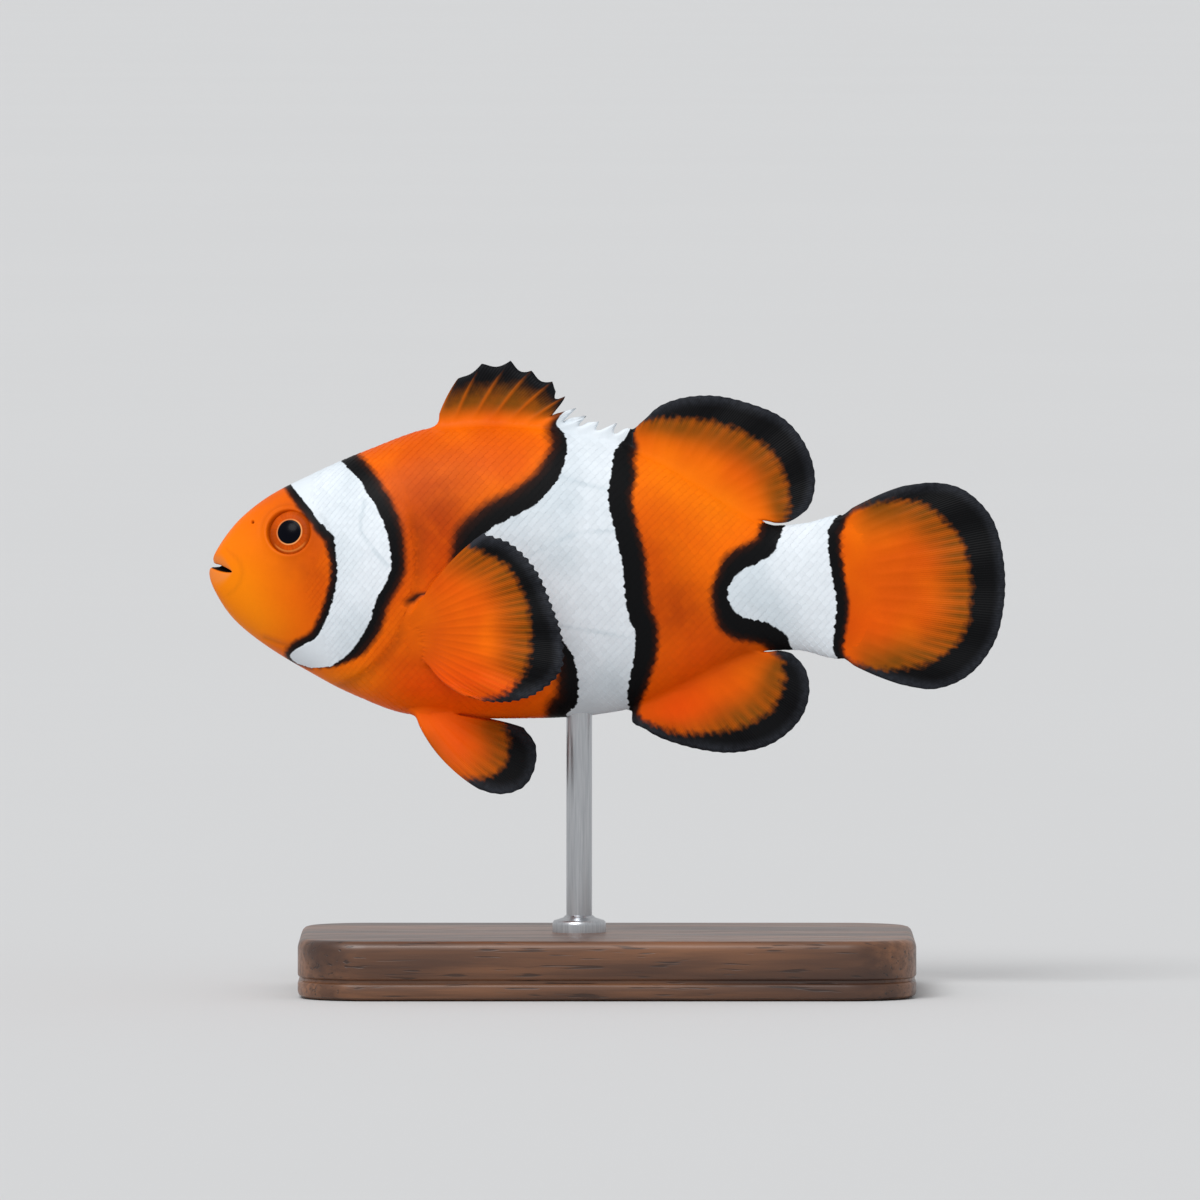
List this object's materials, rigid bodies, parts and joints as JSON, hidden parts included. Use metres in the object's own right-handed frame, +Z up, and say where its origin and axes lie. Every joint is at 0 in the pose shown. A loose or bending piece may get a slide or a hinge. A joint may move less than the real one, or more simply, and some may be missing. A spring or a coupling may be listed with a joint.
{
  "type": "clownfish",
  "caption": "Still life-size orange clownfish with black-edged white bars and spread fins, held level on a rod above a flat wooden base.",
  "frame": {"origin": "centre of the underside of the stand's base, below the middle of the fish's length", "axes": "the fish faces -Y with its left side towards +X; +Z is up; its middle plane is the YZ plane"},
  "size_m": [0.038, 0.0801, 0.0636],
  "materials": {
    "fish_skin": "satin wet-looking scaled skin, orange with black-edged white bars",
    "eye": "polished, blue-black pupil in an orange iris with a thin pale ring",
    "walnut": "dark satin oiled, with fine grain",
    "steel": "fine brushed"
  },
  "bodies": {
    "root": {"head": "fish_skin", "trunk": "fish_skin", "tail_stem": "fish_skin", "dorsal_fin_spiny": "fish_skin", "dorsal_fin_soft": "fish_skin", "anal_fin": "fish_skin", "tail_fin": "fish_skin", "pectoral_fin_left": "fish_skin", "pectoral_fin_right": "fish_skin", "pelvic_fin_left": "fish_skin", "pelvic_fin_right": "fish_skin", "eye_left": "eye", "eye_right": "eye", "stand_base": "walnut", "stand_rod": "steel"}
  },
  "joints": []
}
